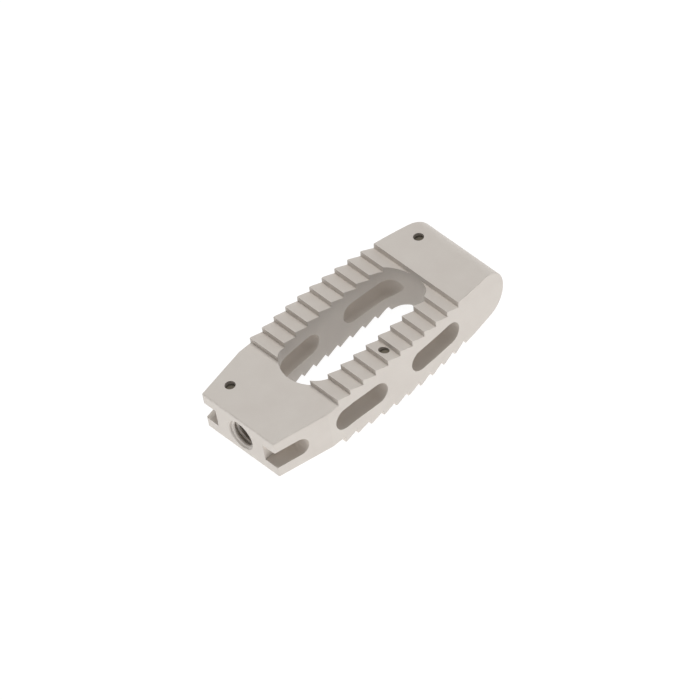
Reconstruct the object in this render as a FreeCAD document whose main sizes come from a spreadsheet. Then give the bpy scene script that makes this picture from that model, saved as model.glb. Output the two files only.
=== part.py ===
import FreeCAD, Part
import math
import operator
import os
from enum import IntEnum
from types import SimpleNamespace
import Sketcher
from FreeCAD import Vector

# Spinal interbody cage for a lateral approach: a one-piece cage machined from
# PEEK, with three tantalum marker pins pressed into it. Millimetres.
# The origin is the centre of the cage. +X is the leading end with the bullet
# nose, -X the trailing end with the inserter interface, +Z faces the upper
# vertebra and +Y is the left side seen from the trailing end.

doc = FreeCAD.newDocument("interbody_cage")

# Driving dimensions
SIZES = {
    "cage_length": 42.0,
    "cage_width": 18.0,            # at mid-length, where the sides bulge most
    "crown_height": 9.0,           # tooth tip to tooth tip at mid-length
    "side_radius": 112.0,          # plan arc of each side
    "crown_radius": 175.0,         # side-view arc that the tooth tips lie on
    "tooth_count": 10,
    "tooth_pitch": 2.26,
    "tooth_depth": 0.85,
    "tooth_land": 0.08,            # flat left on each tip
    "tooth_lean": 4.0,             # degrees that a steep face leans from the arc's radius
    "trailing_plateau": 10.55,     # from the trailing face to the first tooth
    "trailing_inset": 1.95,        # each side, in from the widest station to the trailing face
    "trailing_drop": 1.2,          # each face, down from the crown's top to the trailing face
    "trailing_round": 0.25,        # rounding of the trailing face's rim and the edges behind the teeth
    "shoulder_setback": 8.4,       # from the trailing face to where the taper starts
    "shoulder_inset": 0.28,        # each side, in from the widest station to the shoulder
    "edge_round": 0.1,             # broken long edges of the toothed part and nose
    "rail_width": 4.4,             # solid rail beside the graft window
    "trailing_wall": 9.45,         # solid between the trailing face and the graft window
    "nose_wall": 8.9,              # solid between the graft window and the nose's tip
    "window_end_rise": 2.05,       # how far each end arc of the window stands past its corners
    "window_corner_radius": 3.2,
    "slot_length": 9.2,
    "slot_height": 3.5,
    "slot_spacing": 13.75,         # centre to centre of the two slots of a side
    "grip_core_width": 9.3,        # left between the two grip notches
    "grip_height": 2.9,
    "grip_length": 5.1,
    "thread_bore": 4.5,            # major diameter of the M4.5 x 0.75 thread
    "thread_mouth": 4.8,           # countersink at the trailing face
    "countersink_angle": 90.0,     # degrees, across the cone
    "marker_bore": 1.5,
    "marker_fit": 0.02,            # on a pin's diameter
    "marker_recess": 0.6,          # from the surface round a pin down to its end
    "trailing_marker_length": 0.9,  # short, because a grip notch passes below it
    "leading_marker_length": 6.0,
    "middle_marker_length": 4.0,
    "trailing_marker_setback": 3.5,   # from the trailing face to its marker's axis
    "leading_marker_setback": 3.9,    # from the nose's tip to its marker's axis
    "middle_marker_setback": 0.2,     # from mid-length back to the middle marker's axis
    "trailing_marker_inset": 3.85,    # from the cage's widest station to the marker's axis
    "leading_marker_inset": 4.2,
    "cutter_margin": 2.0,          # how far a cut starts outside the material
}

sheet = doc.addObject("Spreadsheet::Sheet", "sizes")
for row, (alias, value) in enumerate(SIZES.items(), start=1):
    sheet.set(f"A{row}", alias)
    sheet.set(f"B{row}", str(value))
    sheet.setAlias(f"B{row}", alias)
doc.recompute()

ARITHMETIC = {
    "+": operator.add,
    "-": operator.sub,
    "*": operator.mul,
    "/": operator.truediv,
    "^": operator.pow,
}


class Amount:
    """A number together with the formula that gives it from the spreadsheet."""

    def __init__(self, value, formula):
        self.value = value
        self.formula = formula

    def join(self, sign, other):
        if not isinstance(other, Amount):
            other = Amount(other, str(other))
        value = ARITHMETIC[sign](self.value, other.value)
        return Amount(value, f"({self.formula} {sign} {other.formula})")

    def __add__(self, other):
        return self.join("+", other)

    def __sub__(self, other):
        return self.join("-", other)

    def __mul__(self, other):
        return self.join("*", other)

    def __truediv__(self, other):
        return self.join("/", other)

    def __pow__(self, other):
        return self.join("^", other)

    def __neg__(self):
        return self.join("*", -1)


def root(amount):
    return Amount(math.sqrt(amount.value), f"sqrt({amount.formula})")


def sine(degrees):
    return Amount(math.sin(math.radians(degrees.value)), f"sin({degrees.formula})")


def cosine(degrees):
    return Amount(math.cos(math.radians(degrees.value)), f"cos({degrees.formula})")


def arcsine(ratio):
    return Amount(math.degrees(math.asin(ratio.value)), f"(asin({ratio.formula}) / 1 deg)")


def smaller(first, second):
    return Amount(min(first.value, second.value), f"min({first.formula}; {second.formula})")


s = SimpleNamespace(**{alias: Amount(float(sheet.get(alias)), f"<<sizes>>.{alias}") for alias in SIZES})
zero = Amount(0.0, "0")

# Places that several features share
half_length = s.cage_length / 2
half_width = s.cage_width / 2
first_tooth = half_length - s.trailing_plateau          # centre back to the first steep face
side_centre = s.side_radius - half_width                # plan arcs' centres lie this far across the axis
crown_centre = s.crown_radius - s.crown_height / 2      # crown arcs' centres lie this far below or above


def side_at(station):
    """Half the cage's width at a distance along X from its centre."""
    return root(s.side_radius ** 2 - station ** 2) - side_centre


def crown_at(station):
    """Height of the tooth tips above the centre at a distance along X from it."""
    return root(s.crown_radius ** 2 - station ** 2) - crown_centre


root_height = crown_at(first_tooth) - s.tooth_depth     # trailing plateau's height at the first tooth
trailing_half_width = half_width - s.trailing_inset
trailing_half_height = s.crown_height / 2 - s.trailing_drop
trailing_slope = (root_height - trailing_half_height) / s.trailing_plateau
nose_rise = s.crown_radius ** 2 - crown_centre ** 2 - half_length ** 2
nose_radius = nose_rise / (s.crown_radius * 2 - s.cage_length)
nose_centre = half_length - nose_radius
nose_reach = s.crown_radius - nose_radius               # crown arc's centre to the nose arc's centre
tangent_x = s.crown_radius * nose_centre / nose_reach   # where the crown arc runs into the nose arc
tangent_z = crown_centre * nose_radius / nose_reach

cage = doc.addObject("PartDesign::Body", "cage")
cage.Label = "cage"


def origin_plane(role):
    return next(item for item in cage.Origin.OriginFeatures if item.Role == role)


def new_sketch(name, role, **offsets):
    """A sketch on one of the body's origin planes, moved by offsets in its own x, y and z."""
    sketch = cage.newObject("Sketcher::SketchObject", name)
    sketch.AttachmentSupport = (origin_plane(role), [""])
    sketch.MapMode = "FlatFace"
    for axis, amount in offsets.items():
        sketch.setExpression(f"AttachmentOffset.Base.{axis}", amount.formula)
    return sketch


def dimension(sketch, kind, places, amount):
    """Adds a dimension to a sketch and binds it to the spreadsheet."""
    number = sketch.addConstraint(Sketcher.Constraint(kind, *places, amount.value))
    sketch.setExpression(f"Constraints[{number}]", amount.formula)


def place_point(sketch, edge, point, x, y):
    dimension(sketch, "DistanceX", (edge, point), x)
    dimension(sketch, "DistanceY", (edge, point), y)


class Point(IntEnum):
    """How a sketch counts an edge's points."""
    START = 1
    END = 2
    CENTRE = 3


def outline(sketch, corners, arcs=None, half_rounds=()):
    """Draws a closed outline through corners. An edge is known by the number of the
    corner that it leaves. arcs gives the radius of each edge that is an arc, and
    half_rounds names those that are half circles across an upright chord. Every arc
    bulges to the right of the way that the outline runs."""
    arcs = arcs or {}
    points = [Vector(x.value, y.value, 0) for x, y in corners]
    for edge, start in enumerate(points):
        end = points[(edge + 1) % len(points)]
        half_chord = (end - start) / 2
        right = Vector(half_chord.y, -half_chord.x, 0)
        if edge in half_rounds:
            sketch.addGeometry(Part.Arc(start, start + half_chord + right, end))
        elif edge in arcs:
            radius = arcs[edge].value
            bulge = radius - math.sqrt(radius ** 2 - half_chord.Length ** 2)
            middle = start + half_chord + right * (bulge / half_chord.Length)
            sketch.addGeometry(Part.Arc(start, middle, end))
        else:
            sketch.addGeometry(Part.LineSegment(start, end))
    for edge, (x, y) in enumerate(corners):
        following = (edge + 1) % len(corners)
        sketch.addConstraint(Sketcher.Constraint("Coincident", edge, Point.END, following, Point.START))
        place_point(sketch, edge, Point.START, x, y)
    for edge, radius in arcs.items():
        dimension(sketch, "Radius", (edge,), radius)
    for edge in half_rounds:
        dimension(sketch, "DistanceX", (edge, Point.CENTRE), corners[edge][0])


def circle(sketch, x, y, diameter):
    centre = Vector(x.value, y.value, 0)
    edge = sketch.addGeometry(Part.Circle(centre, Vector(0, 0, 1), diameter.value / 2))
    place_point(sketch, edge, Point.CENTRE, x, y)
    dimension(sketch, "Radius", (edge,), diameter / 2)


def pocket(name, sketch, side="One side", outward=False):
    """Cuts a sketch right through; outward cuts along the sketch's normal."""
    cut = cage.newObject("PartDesign::Pocket", name)
    cut.Profile = sketch
    cut.Type = "ThroughAll"
    cut.SideType = side
    cut.Reversed = outward
    doc.recompute()
    return cut


def mirrored(name, original, role):
    copy = cage.newObject("PartDesign::Mirrored", name)
    copy.Originals = [original]
    copy.MirrorPlane = (origin_plane(role), [""])
    cage.Tip = copy
    doc.recompute()
    return copy


def rounded(name, base, radius, is_wanted):
    """Fillets the edges of the last feature that a test picks."""
    numbered = enumerate(base.Shape.Edges, start=1)
    edges = [f"Edge{number}" for number, edge in numbered if is_wanted(edge.BoundBox)]
    fillet = cage.newObject("PartDesign::Fillet", name)
    fillet.Base = (base, edges)
    fillet.setExpression("Radius", radius.formula)
    doc.recompute()
    return fillet


SAME = 0.01   # mm, how close two coordinates are when they count as one

# Body: the plan padded up, then the side view cut out of it
shoulder_station = half_length - s.shoulder_setback
shoulder_half_width = half_width - s.shoulder_inset
side_start = root(s.side_radius ** 2 - (side_centre + shoulder_half_width) ** 2)   # straight flank meets arc
past_nose = half_length + s.cutter_margin
plan = new_sketch("plan", "XY_Plane")
plan_corners = [
    (-half_length, -trailing_half_width),
    (-shoulder_station, -shoulder_half_width),
    (-side_start, -shoulder_half_width),
    (past_nose, -side_at(past_nose)),
    (past_nose, side_at(past_nose)),
    (-side_start, shoulder_half_width),
    (-shoulder_station, shoulder_half_width),
    (-half_length, trailing_half_width),
]
outline(plan, plan_corners, arcs={2: s.side_radius, 4: s.side_radius})
block = cage.newObject("PartDesign::Pad", "block")
block.Profile = plan
block.SideType = "Symmetric"
block.setExpression("Length", (s.crown_height + s.cutter_margin).formula)
doc.recompute()

past_crown = s.crown_height / 2 + s.cutter_margin
past_block = past_nose + s.cutter_margin
past_trailing_face = -half_length - s.cutter_margin
past_height = trailing_half_height - trailing_slope * s.cutter_margin
side_view = new_sketch("side_view", "XZ_Plane")
side_view_corners = [
    (past_trailing_face, -past_height),
    (-first_tooth, -root_height),
    (-first_tooth, -crown_at(first_tooth)),
    (tangent_x, -tangent_z),
    (tangent_x, tangent_z),
    (-first_tooth, crown_at(first_tooth)),
    (-first_tooth, root_height),
    (past_trailing_face, past_height),
    (past_trailing_face, past_crown),
    (past_block, past_crown),
    (past_block, -past_crown),
    (past_trailing_face, -past_crown),
]
outline(side_view, side_view_corners, arcs={2: s.crown_radius, 3: nose_radius, 4: s.crown_radius})
crown_and_nose = pocket("crown_and_nose", side_view, side="Symmetric")


def is_long(box):
    """An edge that runs along the cage, not across or up it."""
    return box.XLength > SAME and box.XLength > box.YLength


def is_behind_teeth(box):
    return box.XMax < -first_tooth.value + SAME


def is_on_trailing_face(box):
    return box.XMax < -half_length.value + SAME


broken_edges = rounded(
    "broken_edges", crown_and_nose, s.edge_round,
    lambda box: is_long(box) and not is_behind_teeth(box),
)
trailing_edges = rounded(
    "trailing_edges", broken_edges, s.trailing_round,
    lambda box: is_on_trailing_face(box) or (is_long(box) and is_behind_teeth(box)),
)

# Graft window: side arcs concentric with the cage's sides, end arcs on its axis
CORNER_SHARE = 0.8   # a narrow window's corners are rounded to this share of its half width
window_side_radius = s.side_radius - s.rail_width
window_trailing = half_length - s.trailing_wall
window_leading = half_length - s.nose_wall


def window_end(station):
    """Corner of the window next to an end that lies at a distance along X from the
    centre, and the radius of the end arc between that corner and its opposite."""
    corner_x = station - s.window_end_rise
    corner_y = root(window_side_radius ** 2 - corner_x ** 2) - side_centre
    radius = (s.window_end_rise ** 2 + corner_y ** 2) / (s.window_end_rise * 2)
    return corner_x, corner_y, radius


trailing_x, trailing_y, trailing_end_radius = window_end(window_trailing)
leading_x, leading_y, leading_end_radius = window_end(window_leading)
window = new_sketch("window", "XY_Plane")
window_corners = [
    (-trailing_x, -trailing_y),
    (leading_x, -leading_y),
    (leading_x, leading_y),
    (-trailing_x, trailing_y),
]
window_arcs = {0: window_side_radius, 1: leading_end_radius, 2: window_side_radius, 3: trailing_end_radius}
outline(window, window_corners, arcs=window_arcs)
graft_window = pocket("graft_window", window, side="Symmetric")

widest_rounding = smaller(trailing_y, leading_y) * CORNER_SHARE


def is_window_corner(box):
    """An upright edge between the two rails, higher than the step before the teeth."""
    is_upright = max(box.XLength, box.YLength) < SAME
    is_high = box.ZLength > s.tooth_depth.value + SAME
    return is_upright and is_high and abs(box.Center.y) < half_width.value - s.rail_width.value


window_rounding = smaller(s.window_corner_radius, widest_rounding)
window_corners_rounded = rounded("window_corners_rounded", graft_window, window_rounding, is_window_corner)

# Side slots: two through each rail
slot_half_height = s.slot_height / 2
slot_start = -s.slot_spacing / 2 - s.slot_length / 2 + slot_half_height
slot_end = -s.slot_spacing / 2 + s.slot_length / 2 - slot_half_height
slot_profile = new_sketch("slot_profile", "XZ_Plane")
slot_corners = [
    (slot_start, -slot_half_height),
    (slot_end, -slot_half_height),
    (slot_end, slot_half_height),
    (slot_start, slot_half_height),
]
outline(slot_profile, slot_corners, half_rounds=(1, 3))
trailing_slots = pocket("trailing_slots", slot_profile, side="Symmetric")
side_slots = mirrored("side_slots", trailing_slots, "YZ_Plane")

# Grip notches: the inserter's two prongs slide into them at the trailing end
grip_half_height = s.grip_height / 2
grip_end = -half_length + s.grip_length - grip_half_height
grip_profile = new_sketch("grip_profile", "XZ_Plane", z=s.grip_core_width / 2)
grip_corners = [
    (past_trailing_face, -grip_half_height),
    (grip_end, -grip_half_height),
    (grip_end, grip_half_height),
    (past_trailing_face, grip_half_height),
]
outline(grip_profile, grip_corners, half_rounds=(1,))
right_grip = pocket("right_grip", grip_profile, outward=True)
grip_notches = mirrored("grip_notches", right_grip, "XZ_Plane")

# Inserter hole: tapped from the trailing face through to the graft window
hole_centre = new_sketch("hole_centre", "YZ_Plane", z=-half_length)
circle(hole_centre, zero, zero, s.thread_bore)
doc.recompute()
inserter_hole = cage.newObject("PartDesign::Hole", "inserter_hole")
inserter_hole.Profile = hole_centre
inserter_hole.Reversed = True
inserter_hole.setExpression("Diameter", s.thread_bore.formula)
inserter_hole.DepthType = "Dimension"
inserter_hole.setExpression("Depth", (s.trailing_wall + s.cutter_margin).formula)
inserter_hole.DrillPoint = "Flat"
inserter_hole.HoleCutType = "Countersink"
inserter_hole.HoleCutCustomValues = True
inserter_hole.setExpression("HoleCutDiameter", s.thread_mouth.formula)
inserter_hole.setExpression("HoleCutCountersinkAngle", s.countersink_angle.formula)
doc.recompute()

# Marker holes, blind from the upper face, and the pins pressed into them
trailing_station = half_length - s.trailing_marker_setback
leading_station = half_length - s.leading_marker_setback
trailing_surface = trailing_half_height + trailing_slope * s.trailing_marker_setback
leading_surface = crown_at(leading_station)
middle_surface = s.crown_height / 2 - s.tooth_depth / 2
rail_middle = half_width - s.rail_width / 2
MARKERS = {
    "trailing": (
        -trailing_station, half_width - s.trailing_marker_inset, trailing_surface, s.trailing_marker_length,
    ),
    "leading": (
        leading_station, half_width - s.leading_marker_inset, leading_surface, s.leading_marker_length,
    ),
    "middle": (
        -s.middle_marker_setback, -rail_middle, middle_surface, s.middle_marker_length,
    ),
}
pins = []
for place, (x, y, surface, length) in MARKERS.items():
    floor = surface - s.marker_recess - length
    marker_seat = new_sketch(f"marker_seat_{place}", "XY_Plane", z=floor)
    circle(marker_seat, x, y, s.marker_bore)
    pocket(f"marker_hole_{place}", marker_seat, outward=True)
    pin = doc.addObject("Part::Cylinder", f"marker_pin_{place}")
    pin.Label = f"marker_pin_{place}"
    pin.setExpression("Radius", ((s.marker_bore - s.marker_fit) / 2).formula)
    pin.setExpression("Height", length.formula)
    pin.setExpression("Placement.Base.x", x.formula)
    pin.setExpression("Placement.Base.y", y.formula)
    pin.setExpression("Placement.Base.z", floor.formula)
    pins.append(pin)
doc.recompute()

# Saw teeth: one groove between two tips, turned step by step along the crown arc
# about that arc's centre and mirrored onto the lower face. Steep faces look to the
# trailing end, so that the cage slides in nose first and resists backing out.
DEGREES = math.degrees(1)
pitch_angle = s.tooth_pitch / s.crown_radius * DEGREES
land_angle = s.tooth_land / s.crown_radius * DEGREES
root_radius = s.crown_radius - s.tooth_depth
lean_angle = s.tooth_depth * sine(s.tooth_lean) / cosine(s.tooth_lean) / root_radius * DEGREES
first_tip = -arcsine(first_tooth / s.crown_radius)
ramp_start = first_tip + land_angle
second_tip = first_tip + pitch_angle
past_tips = s.crown_radius + s.cutter_margin


def on_crown(radius, angle):
    """A point seen from the crown arc's centre, its angle measured from upright."""
    return radius * sine(angle), radius * cosine(angle)


groove_section = new_sketch("groove_section", "XZ_Plane", y=-crown_centre)
groove_corners = [
    on_crown(s.crown_radius, ramp_start),
    on_crown(root_radius, second_tip - lean_angle),
    on_crown(s.crown_radius, second_tip),
    on_crown(past_tips, second_tip),
    on_crown(past_tips, ramp_start),
]
outline(groove_section, groove_corners)
first_groove = pocket("first_groove", groove_section, side="Symmetric")

teeth = cage.newObject("PartDesign::MultiTransform", "teeth")
tooth_row = cage.newObject("PartDesign::PolarPattern", "tooth_row")
tooth_row.Axis = (groove_section, ["N_Axis"])
tooth_row.Mode = "Spacing"
tooth_row.Reversed = True
tooth_row.setExpression("Offset", pitch_angle.formula)
tooth_row.setExpression("Occurrences", s.tooth_count.formula)
lower_row = cage.newObject("PartDesign::Mirrored", "lower_row")
lower_row.MirrorPlane = (origin_plane("XY_Plane"), [""])
teeth.Originals = [first_groove]
teeth.Transformations = [tooth_row, lower_row]
cage.Tip = teeth
doc.recompute()

# Every object is sound, and after the block only the rounding that fills the
# window's sharp corners adds material
for item in doc.Objects:
    if "Invalid" in item.State or "Error" in item.State:
        raise RuntimeError(f"{item.Name}: {item.State}")
features = [item for item in cage.Group if item.isDerivedFrom("PartDesign::Feature")]
features = [item for item in features if item not in teeth.Transformations]
for earlier, later in zip(features, features[1:]):
    change = later.Shape.Volume - earlier.Shape.Volume
    print(f"{later.Name}: {change:+.2f} mm3")
    if (change > 0) != (later is window_corners_rounded):
        raise RuntimeError(f"{later.Name} changes the volume the wrong way")

os.makedirs("parts", exist_ok=True)
for piece in [cage, *pins]:
    shape = piece.Shape
    if shape.isNull() or not shape.isValid() or len(shape.Solids) != 1:
        raise RuntimeError(f"{piece.Label} is not one valid solid")
    box = shape.BoundBox
    spans = f"{box.XLength:.2f} x {box.YLength:.2f} x {box.ZLength:.2f} mm"
    print(f"{piece.Label}: {shape.Volume:.2f} mm3, {spans}")
    shape.exportStep(f"parts/{piece.Label}.step")
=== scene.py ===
# %% [markdown]
# # A spinal interbody cage
# Everything that follows dresses those solids: a machined polymer, three tantalum
# pins, and the fine thread that the solids leave out.

# %% Load the fixed frame
import bpy
import bmesh
import math
from mathutils import Matrix, Vector


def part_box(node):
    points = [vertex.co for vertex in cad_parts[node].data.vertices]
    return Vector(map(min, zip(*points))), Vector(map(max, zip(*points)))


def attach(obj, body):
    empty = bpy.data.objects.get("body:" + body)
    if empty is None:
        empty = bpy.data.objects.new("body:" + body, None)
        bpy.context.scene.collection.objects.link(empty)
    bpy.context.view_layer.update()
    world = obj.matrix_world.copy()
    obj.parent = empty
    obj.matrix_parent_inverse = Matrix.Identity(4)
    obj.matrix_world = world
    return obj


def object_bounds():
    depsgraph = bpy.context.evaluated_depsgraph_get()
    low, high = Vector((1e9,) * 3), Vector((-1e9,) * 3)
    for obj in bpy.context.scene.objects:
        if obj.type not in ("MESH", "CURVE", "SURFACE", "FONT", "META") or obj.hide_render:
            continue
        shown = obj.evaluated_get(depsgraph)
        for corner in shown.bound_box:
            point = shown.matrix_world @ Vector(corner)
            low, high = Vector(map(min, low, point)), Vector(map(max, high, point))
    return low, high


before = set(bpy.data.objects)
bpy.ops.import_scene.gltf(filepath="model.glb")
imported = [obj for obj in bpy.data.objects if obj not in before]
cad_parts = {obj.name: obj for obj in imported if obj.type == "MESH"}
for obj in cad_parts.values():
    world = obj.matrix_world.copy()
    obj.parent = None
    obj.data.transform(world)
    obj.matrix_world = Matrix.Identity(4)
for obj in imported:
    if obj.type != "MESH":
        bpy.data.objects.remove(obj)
cad_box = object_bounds()
MM = 0.001
for name in sorted(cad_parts):
    low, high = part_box(name)
    print(name, [round((b - a) / MM, 2) for a, b in zip(low, high)], "mm")

# %% [markdown]
# ## Helpers
# Colours are easiest to pick as sRGB hex values, the way a paint chart or a photo
# editor gives them, but shaders calculate in linear light. One function converts.
# One more adds a node, sets its values and links its inputs, so that every material
# and node tree below reads as a list of what feeds what. Two short ones empty a
# material's tree and turn a real spacing into the Wave Texture's scale.

# %% Colours and nodes
def linear(hex_colour):
    """Turns an sRGB hex colour such as D9CFC6 into linear RGBA."""
    channels = [int(hex_colour[i:i + 2], 16) / 255 for i in (0, 2, 4)]
    return [c / 12.92 if c <= 0.04045 else ((c + 0.055) / 1.055) ** 2.4 for c in channels] + [1.0]


def add(tree, kind, settings=None, **inputs):
    """Adds a node to a tree. settings are its own properties; inputs are values or
    other nodes' sockets, by the input's name with underscores for spaces, or by its
    place as input0, input1 and so on."""
    node = tree.nodes.new(kind)
    for key, value in (settings or {}).items():
        setattr(node, key, value)
    for key, value in inputs.items():
        name = key.replace("_", " ")
        socket = node.inputs[int(name[5:])] if name.startswith("input") else node.inputs[name]
        if isinstance(value, bpy.types.NodeSocket):
            tree.links.new(value, socket)
        else:
            socket.default_value = value
    return node


def new_tree(holder):
    """Gives a material or a world an empty node tree."""
    holder.use_nodes = True
    holder.node_tree.nodes.clear()
    return holder.node_tree


def wave_scale(step):
    """The Wave Texture's scale for bands this far apart: at 1 they are pi / 10 apart."""
    return math.pi / (10 * step)


print("PEEK beige in linear light:", [round(c, 3) for c in linear("CFC8C0")[:3]])

# %% [markdown]
# ## Machined PEEK
# The cage is milled from a bar of PEEK, a hard implant polymer. The natural polymer
# is a light grey-beige, opaque, and a fine milling cutter leaves it satin matte, with
# faint parallel passes that only show when light grazes them. So the colour is nearly
# even, with a very soft cloudiness a few millimetres across; the roughness is a half
# or a little more; and the bump is a wave with the cutter's step of 0.25 mm plus a
# grain of 0.05 mm. The grain is drawn at 0.12 mm, as coarse as the picture needs to
# show it at all. Cutters and tumbling also take the knife edge off every corner,
# which a Bevel node imitates.

# %% Material: machined PEEK
CUTTER_STEP = 0.25 * MM
GRAIN = 0.12 * MM
CLOUD = 4.0 * MM
EDGE_BREAK = 0.05 * MM


def machined_peek():
    material = bpy.data.materials.new("machined_peek")
    tree = new_tree(material)
    place = add(tree, "ShaderNodeTexCoord")
    cloud = add(tree, "ShaderNodeTexNoise", Vector=place.outputs["Object"],
                Scale=1 / CLOUD, Detail=3.0, Roughness=0.55)
    tint = add(tree, "ShaderNodeValToRGB", Fac=cloud.outputs["Fac"])
    tint.color_ramp.elements[0].position = 0.25
    tint.color_ramp.elements[0].color = linear("CCC4BC")
    tint.color_ramp.elements[1].position = 0.75
    tint.color_ramp.elements[1].color = linear("D2CBC3")
    passes = add(tree, "ShaderNodeTexWave", {"bands_direction": "X"}, Vector=place.outputs["Object"],
                 Scale=wave_scale(CUTTER_STEP), Distortion=0.6, Detail=1.0)
    grain = add(tree, "ShaderNodeTexNoise", Vector=place.outputs["Object"], Scale=1 / GRAIN, Detail=2.0)
    shine = add(tree, "ShaderNodeMapRange", Value=cloud.outputs["Fac"], To_Min=0.50, To_Max=0.60)
    edges = add(tree, "ShaderNodeBevel", {"samples": 4}, Radius=EDGE_BREAK)
    milled = add(tree, "ShaderNodeBump", Height=passes.outputs["Fac"], Normal=edges.outputs["Normal"],
                 Strength=0.06, Distance=0.02 * MM)
    surface = add(tree, "ShaderNodeBump", Height=grain.outputs["Fac"], Normal=milled.outputs["Normal"],
                  Strength=0.12, Distance=0.02 * MM)
    shader = add(tree, "ShaderNodeBsdfPrincipled", Base_Color=tint.outputs["Color"],
                 Roughness=shine.outputs["Result"], IOR=1.65, Normal=surface.outputs["Normal"])
    add(tree, "ShaderNodeOutputMaterial", Surface=shader.outputs["BSDF"])
    return material


peek = machined_peek()
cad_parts["cage"].data.materials.clear()
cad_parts["cage"].data.materials.append(peek)
print("cage finish:", peek.name, "with", len(peek.node_tree.nodes), "nodes")

# %% [markdown]
# ## Turned tantalum
# Polymer does not show on an X-ray, so three tantalum pins mark the cage's ends and
# middle. Tantalum is a heavy grey metal, and its skin of oxide makes it much darker
# than steel. The two greys are a little warm, matched to the pins as they look in the
# photograph. Each pin is parted off on a lathe, which leaves fine rings round its
# axis, 0.1 mm apart. The rings have to be centred on each pin, so a Mapping node
# shifts the pattern, and every pin gets its own copy of the material.

# %% Material: turned tantalum
TURNED_RING = 0.1 * MM


def turned_tantalum(place_name, centre):
    material = bpy.data.materials.new("turned_tantalum_" + place_name)
    tree = new_tree(material)
    place = add(tree, "ShaderNodeTexCoord")
    centred = add(tree, "ShaderNodeMapping", Vector=place.outputs["Object"],
                  Location=(-centre.x, -centre.y, 0))
    rings = add(tree, "ShaderNodeTexWave", {"wave_type": "RINGS", "rings_direction": "Z"},
                Vector=centred.outputs["Vector"], Scale=wave_scale(TURNED_RING), Distortion=0.4)
    tone = add(tree, "ShaderNodeValToRGB", Fac=rings.outputs["Fac"])
    tone.color_ramp.elements[0].color = linear("4C473F")
    tone.color_ramp.elements[1].color = linear("5F594F")
    turned = add(tree, "ShaderNodeBump", Height=rings.outputs["Fac"], Strength=0.3, Distance=0.01 * MM)
    shader = add(tree, "ShaderNodeBsdfPrincipled", Base_Color=tone.outputs["Color"], Metallic=1.0,
                 Roughness=0.42, Normal=turned.outputs["Normal"])
    add(tree, "ShaderNodeOutputMaterial", Surface=shader.outputs["BSDF"])
    return material


for place_name in ("trailing", "leading", "middle"):
    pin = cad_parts["marker_pin_" + place_name]
    low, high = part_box(pin.name)
    pin.data.materials.clear()
    pin.data.materials.append(turned_tantalum(place_name, (low + high) / 2))
    print(pin.name, "is centred", [round(c / MM, 2) for c in (low + high) / 2], "mm from the cage's centre")

# %% [markdown]
# ## The inserter's thread
# The hole in the trailing end is tapped M4.5 x 0.75. The solid has it as a plain bore
# of the thread's major diameter, so the ridges between the grooves are what is
# missing. A ridge is one section swept along a helix, which is exactly what Geometry
# Nodes do well: a Spiral curve, a small trapezoid as its profile, and Curve to Mesh.
# The photograph shows a bright ring just inside the mouth. It is the first ridge's
# flank, chamfered so that the inserter's rod finds its way in, and it has to stay a
# helix, because a closed ring would keep the rod out. The thread is right-handed, as
# nearly all are, and the Spiral node runs the other way round unless it is reversed,
# so check_hand measures the finished mesh. A Set Position node cuts the chamfer into
# the ridge: it pushes every point that stands in the chamfer's cone out to it, and the
# ridge grows out of the wall instead of beginning with a blunt end.

# %% The thread's sizes
MAJOR_RADIUS = 2.25 * MM
MINOR_RADIUS = 1.844 * MM
PITCH = 0.75 * MM
WALL_LENGTH = 9.45 * MM            # trailing face to the graft window
ROOT_SINK = 0.06 * MM              # how far the ridge's foot stands in the bore's wall
FOOT_SHARE = 0.875                 # of the pitch: how wide the ridge's foot is
CREST_SHARE = 0.25                 # of the pitch: how wide its crest is
FLANK_SPREAD = 1.15                # how much wider a 60 degree section gets with each depth
FIRST_RIDGE = 0.1 * MM             # trailing face to the middle of the ridge at its start
START_ANGLE = math.radians(-147)   # the start lies in the hole's upper right
NEAREST = 0.1 * MM                 # no point of the thread comes nearer to the face
CHAMFER_DEPTH = 0.17 * MM          # where the chamfer's cone meets the bore
CHAMFER_SLOPE = math.tan(math.radians(60))
WELD = 0.02 * MM                   # joins the points that the chamfer brings together
trailing_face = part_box("cage")[0].x
END_CLEARANCE = 0.6 * PITCH        # from the last ridge's middle to the graft window, at least
thread_length = WALL_LENGTH - FIRST_RIDGE - END_CLEARANCE
thread_turns = math.floor(thread_length / PITCH * 4) / 4    # down to a whole quarter turn
print("the thread makes", thread_turns, "turns")

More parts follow.
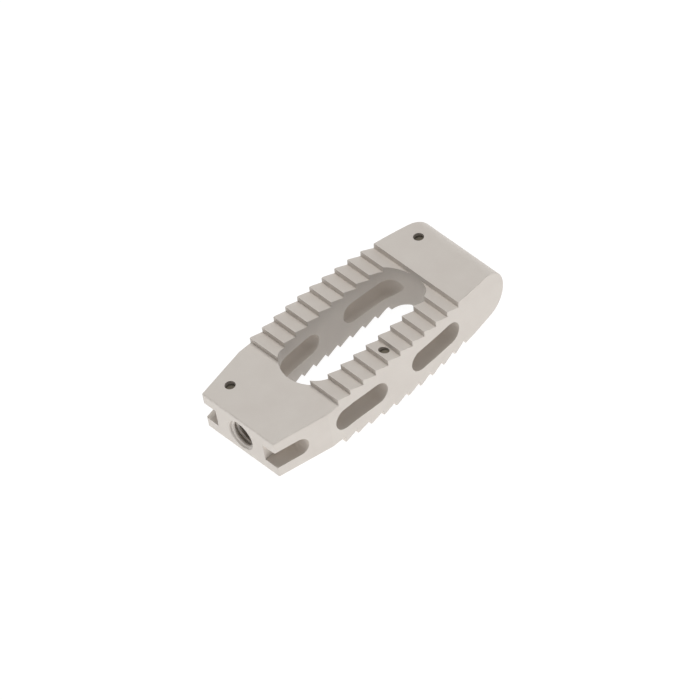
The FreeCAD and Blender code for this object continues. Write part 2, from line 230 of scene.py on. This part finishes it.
# %% The thread's node tree
def thread_tree():
    tree = bpy.data.node_groups.new("helical_thread", "GeometryNodeTree")
    sizes = {"Turns": thread_turns, "Pitch": PITCH, "Major Radius": MAJOR_RADIUS,
             "Minor Radius": MINOR_RADIUS, "Root Sink": ROOT_SINK, "First Ridge": FIRST_RIDGE,
             "Start Angle": START_ANGLE, "Nearest": NEAREST, "Chamfer Depth": CHAMFER_DEPTH,
             "Chamfer Slope": CHAMFER_SLOPE}
    for name, value in sizes.items():
        socket = tree.interface.new_socket(name, in_out="INPUT", socket_type="NodeSocketFloat")
        socket.default_value = value
    tree.interface.new_socket("Material", in_out="INPUT", socket_type="NodeSocketMaterial")
    tree.interface.new_socket("Geometry", in_out="OUTPUT", socket_type="NodeSocketGeometry")
    given = tree.nodes.new("NodeGroupInput").outputs

    def number(operation, first, second):
        """One step of arithmetic between two numbers or sockets."""
        return add(tree, "ShaderNodeMath", {"operation": operation}, input0=first, input1=second).outputs[0]

    height = number("MULTIPLY", given["Turns"], given["Pitch"])
    helix = add(tree, "GeometryNodeCurveSpiral", Resolution=180, Reverse=True, Rotations=given["Turns"],
                Start_Radius=given["Major Radius"], End_Radius=given["Major Radius"], Height=height)
    upright = add(tree, "GeometryNodeSetCurveNormal", {"mode": "Z_UP"}, Curve=helix.outputs["Curve"])
    depth = number("SUBTRACT", given["Major Radius"], given["Minor Radius"])
    foot = number("ADD", number("MULTIPLY", given["Pitch"], FOOT_SHARE),
                  number("MULTIPLY", given["Root Sink"], FLANK_SPREAD))
    crest = number("MULTIPLY", given["Pitch"], CREST_SHARE)
    full_height = number("ADD", depth, given["Root Sink"])
    section = add(tree, "GeometryNodeCurvePrimitiveQuadrilateral", {"mode": "TRAPEZOID"},
                  Bottom_Width=foot, Top_Width=crest, Offset=0.0, Height=full_height)
    rise = number("SUBTRACT", number("MULTIPLY", full_height, 0.5), given["Root Sink"])
    shift = add(tree, "ShaderNodeCombineXYZ", X=0.0, Y=rise, Z=0.0)
    seated = add(tree, "GeometryNodeSetPosition", Geometry=section.outputs["Curve"],
                 Offset=shift.outputs["Vector"])
    turned = add(tree, "GeometryNodeTransform", Geometry=seated.outputs["Geometry"],
                 Rotation=(0.0, 0.0, math.radians(90)))
    ridge = add(tree, "GeometryNodeCurveToMesh", Curve=upright.outputs["Curve"],
                Profile_Curve=turned.outputs["Geometry"], Fill_Caps=True)
    start = add(tree, "ShaderNodeCombineXYZ", X=0.0, Y=0.0, Z=given["First Ridge"])
    turn = add(tree, "ShaderNodeCombineXYZ", X=0.0, Y=0.0, Z=given["Start Angle"])
    placed = add(tree, "GeometryNodeTransform", Geometry=ridge.outputs["Mesh"],
                 Translation=start.outputs["Vector"], Rotation=turn.outputs["Vector"])
    position = add(tree, "GeometryNodeInputPosition").outputs["Position"]
    parts = add(tree, "ShaderNodeSeparateXYZ", Vector=position).outputs
    flat = add(tree, "ShaderNodeCombineXYZ", X=parts["X"], Y=parts["Y"], Z=0.0).outputs["Vector"]
    radius = add(tree, "ShaderNodeVectorMath", {"operation": "LENGTH"}, input0=flat).outputs["Value"]
    inward = number("MAXIMUM", parts["Z"], given["Nearest"])
    narrowing = number("MULTIPLY", number("SUBTRACT", inward, given["Chamfer Depth"]), given["Chamfer Slope"])
    wanted = number("MAXIMUM", radius, number("SUBTRACT", given["Major Radius"], narrowing))
    spread = add(tree, "ShaderNodeVectorMath", {"operation": "SCALE"}, input0=flat,
                 Scale=number("DIVIDE", wanted, radius)).outputs["Vector"]
    lift = add(tree, "ShaderNodeCombineXYZ", X=0.0, Y=0.0, Z=inward).outputs["Vector"]
    cone_point = add(tree, "ShaderNodeVectorMath", {"operation": "ADD"}, input0=spread, input1=lift)
    chamfered = add(tree, "GeometryNodeSetPosition", Geometry=placed.outputs["Geometry"],
                    Position=cone_point.outputs["Vector"])
    welded = add(tree, "GeometryNodeMergeByDistance", Geometry=chamfered.outputs["Geometry"], Distance=WELD)
    real = add(tree, "GeometryNodeRealizeInstances", Geometry=welded.outputs["Geometry"])
    coloured = add(tree, "GeometryNodeSetMaterial", Geometry=real.outputs["Geometry"],
                   Material=given["Material"])
    add(tree, "NodeGroupOutput", Geometry=coloured.outputs["Geometry"])
    return tree


# %% Make the thread a plain mesh and turn it into the hole
into_hole = Matrix.Translation((trailing_face, 0, 0)) @ Matrix.Rotation(math.radians(90), 4, "Y")


def thread_mesh():
    host = bpy.data.objects.new("thread_host", bpy.data.meshes.new("thread_host"))
    bpy.context.scene.collection.objects.link(host)
    modifier = host.modifiers.new("thread", "NODES")
    modifier.node_group = thread_tree()
    for item in modifier.node_group.interface.items_tree:
        if item.in_out == "INPUT" and item.name == "Material":
            modifier[item.identifier] = peek
    evaluated = host.evaluated_get(bpy.context.evaluated_depsgraph_get())
    mesh = bpy.data.meshes.new_from_object(evaluated)
    bpy.data.objects.remove(host)
    return mesh


CREST_TOLERANCE = 0.002 * MM
ALONG_THE_HELIX = 0.01             # of the radius squared: leaves out edges across the crest


def check_hand(mesh):
    """Follows the crest inwards: a right-handed thread turns from x to y as z grows."""
    crest = {v.index for v in mesh.vertices
             if abs(math.hypot(v.co.x, v.co.y) - MINOR_RADIUS) < CREST_TOLERANCE}
    right, left = 0, 0
    for edge in mesh.edges:
        if crest.issuperset(edge.vertices):
            start, end = (mesh.vertices[i].co for i in edge.vertices)
            turn = start.x * end.y - start.y * end.x
            climb = end.z - start.z
            if abs(turn) > ALONG_THE_HELIX * MINOR_RADIUS ** 2:
                right += turn * climb > 0
                left += turn * climb < 0
    print("crest edges that turn right:", right, "and left:", left)
    if left or not right:
        raise ValueError("the thread isn't right-handed")


def ride_in_hole(name, mesh):
    """Faces the mesh outward, lays it along the hole and lets it ride the cage."""
    shell = bmesh.new()
    shell.from_mesh(mesh)
    bmesh.ops.recalc_face_normals(shell, faces=shell.faces)
    shell.to_mesh(mesh)
    shell.free()
    radii = [math.hypot(v.co.x, v.co.y) / MM for v in mesh.vertices]
    depths = [v.co.z / MM for v in mesh.vertices]
    print(f"{name}: {len(mesh.polygons)} faces, radius {min(radii):.2f} to {max(radii):.2f} mm,"
          f" depth {min(depths):.2f} to {max(depths):.2f} mm")
    if abs(min(radii) - MINOR_RADIUS / MM) > 0.01:
        raise ValueError("the ridge's crest isn't at the thread's minor radius")
    check_hand(mesh)
    mesh.transform(into_hole)
    piece = bpy.data.objects.new(name, mesh)
    bpy.context.scene.collection.objects.link(piece)
    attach(piece, "root")
    return piece


ride_in_hole("inserter_thread", thread_mesh())

# %% [markdown]
# ## Floor and light
# The product stands in front of pure white, and its vertical sides are the brightest
# ones. That is the look of a light table: an opal sheet lit from behind, which is as
# white as its picture needs and sends light up the sides, while whatever faces up
# inside a slot or behind a tooth stays dark. The floor is such a sheet, with a little
# plain reflection so that the part keeps a trace of its shadow. Right under the part
# it shines less, as a sheet does that the part itself covers, so that the graft window
# and the inserter's hole aren't lit from below through their open ends.

# %% Light table and world
def seen_sharply(tree):
    """1 for what the camera, gloss and glass see, 0 for the soft light on a surface."""
    path = add(tree, "ShaderNodeLightPath").outputs
    direct = add(tree, "ShaderNodeMath", {"operation": "MAXIMUM"}, input0=path["Is Camera Ray"],
                 input1=path["Is Glossy Ray"])
    return add(tree, "ShaderNodeMath", {"operation": "MAXIMUM"}, input0=direct.outputs[0],
               input1=path["Is Transmission Ray"]).outputs[0]


TABLE_LIGHT, COVERED_LIGHT = 1.75, 0.75     # soft light sent up in the open, and under the part
TABLE_WHITE, TABLE_GREY = 0.93, 0.15        # the white that it shows, and the grey that it reflects
ROOM_LIGHT = 0.2
COVER_LENGTH, COVER_WIDTH = 20 * MM, 8 * MM  # half axes of the ellipse under the part
COVER_SOFTNESS = 0.1                # of its size, over which the light comes back

table_material = bpy.data.materials.new("opal_light_table")
table_tree = new_tree(table_material)
spot = add(table_tree, "ShaderNodeMapping", Vector=add(table_tree, "ShaderNodeTexCoord").outputs["Object"],
           Scale=(1 / COVER_LENGTH, 1 / COVER_WIDTH, 0))
reach = add(table_tree, "ShaderNodeVectorMath", {"operation": "LENGTH"}, input0=spot.outputs["Vector"])
masked = add(table_tree, "ShaderNodeMapRange", Value=reach.outputs["Value"],
             From_Min=1 - COVER_SOFTNESS, From_Max=1 + COVER_SOFTNESS,
             To_Min=COVERED_LIGHT, To_Max=TABLE_LIGHT)
lamp_light = add(table_tree, "ShaderNodeEmission", Color=(1, 1, 1, 1), Strength=masked.outputs["Result"])
glow = add(table_tree, "ShaderNodeEmission", Color=(1, 1, 1, 1), Strength=TABLE_WHITE)
sheet = add(table_tree, "ShaderNodeBsdfDiffuse", Color=(TABLE_GREY, TABLE_GREY, TABLE_GREY, 1))
white_sheet = add(table_tree, "ShaderNodeAddShader", input0=glow.outputs[0], input1=sheet.outputs[0])
table_look = add(table_tree, "ShaderNodeMixShader", Fac=seen_sharply(table_tree),
                 input1=lamp_light.outputs[0], input2=white_sheet.outputs[0])
add(table_tree, "ShaderNodeOutputMaterial", Surface=table_look.outputs[0])

TABLE_HALF = 0.6                    # metres, from its middle to each side
table_height = cad_box[0].z
corners = [(x * TABLE_HALF, y * TABLE_HALF, table_height) for x, y in ((-1, -1), (1, -1), (1, 1), (-1, 1))]
table_mesh = bpy.data.meshes.new("light_table")
table_mesh.from_pydata(corners, [], [(0, 1, 2, 3)])
table_mesh.materials.append(table_material)
table = bpy.data.objects.new("light_table", table_mesh)
bpy.context.scene.collection.objects.link(table)

world = bpy.data.worlds.new("studio")
bpy.context.scene.world = world
world_tree = new_tree(world)
room = add(world_tree, "ShaderNodeBackground", Color=(1, 1, 1, 1), Strength=ROOM_LIGHT)
white = add(world_tree, "ShaderNodeBackground", Color=(1, 1, 1, 1), Strength=1.0)
mixed = add(world_tree, "ShaderNodeMixShader", Fac=seen_sharply(world_tree), input1=room.outputs[0],
            input2=white.outputs[0])
add(world_tree, "ShaderNodeOutputWorld", Surface=mixed.outputs[0])
print("the table lies at", round(table_height / MM, 3), "mm")

# %% [markdown]
# ## Lamps
# A wide soft light nearly overhead, a little to the leading end, lights the faces that
# look up and leaves the steep faces of the teeth darker, since those look away from
# it. A weak strip light lies low before the right side, to part that side from the
# trailing end by a shade. The light table does the rest.

# %% Lamps
def soft_light(name, azimuth, elevation, distance, size, power, colour):
    """An area light aimed at the cage's centre. Azimuth 0 stands at -Y, 90 at +X.
    Distance and size are in metres, and power is in watts."""
    light = bpy.data.lights.new(name, "AREA")
    light.shape = "RECTANGLE"
    light.size, light.size_y = size
    light.energy = power
    light.color = linear(colour)[:3]
    turn, lift = math.radians(azimuth), math.radians(elevation)
    away = Vector((math.sin(turn) * math.cos(lift), -math.cos(turn) * math.cos(lift), math.sin(lift)))
    lamp = bpy.data.objects.new(name, light)
    lamp.location = away * distance
    lamp.rotation_mode = "QUATERNION"
    lamp.rotation_quaternion = away.to_track_quat("Z", "Y")
    bpy.context.scene.collection.objects.link(lamp)
    print(name, "stands at", [round(c, 2) for c in lamp.location], "m")


soft_light("overhead", azimuth=135, elevation=80, distance=0.6, size=(0.4, 0.4),
           power=2.35, colour="FFFFFF")
soft_light("strip_before_side", azimuth=-12, elevation=1.2, distance=0.35, size=(0.2, 0.022),
           power=0.06, colour="FFFBF9")

# %% [markdown]
# ## Camera
# The photograph looks down on the cage from its trailing right corner, almost without
# perspective, and it is slightly rolled. A very long lens, far away, gives the same
# parallel look as an orthographic camera. The numbers that place it were fitted to the
# cage's corners: azimuth, elevation, roll, millimetres across the frame, and how far
# its aim lies from the cage's centre, to the right and up.

# %% Camera
AZIMUTH, ELEVATION, ROLL = (math.radians(angle) for angle in (-34.6, 47.4, 11.5))
FRAME_WIDTH = 93.75 * MM
AIM_RIGHT, AIM_UP = -0.597 * MM, -0.675 * MM
LENS, SENSOR = 600.0, 36.0

back = Vector((math.sin(AZIMUTH) * math.cos(ELEVATION), -math.cos(AZIMUTH) * math.cos(ELEVATION),
               math.sin(ELEVATION)))
level_right = Vector((math.cos(AZIMUTH), math.sin(AZIMUTH), 0))
level_up = back.cross(level_right)
right = level_right * math.cos(ROLL) - level_up * math.sin(ROLL)
up = level_right * math.sin(ROLL) + level_up * math.cos(ROLL)
distance = FRAME_WIDTH * LENS / SENSOR
camera_data = bpy.data.cameras.new("camera")
camera_data.lens, camera_data.sensor_width = LENS, SENSOR
camera_data.clip_start, camera_data.clip_end = 0.1, 10.0
camera = bpy.data.objects.new("camera", camera_data)
camera.matrix_world = (Matrix.Translation(right * AIM_RIGHT + up * AIM_UP + back * distance)
                       @ Matrix((right, up, back)).transposed().to_4x4())
bpy.context.scene.collection.objects.link(camera)
bpy.context.scene.camera = camera
bpy.context.scene.view_settings.view_transform = "Standard"
print("the camera is", round(distance, 3), "m away")
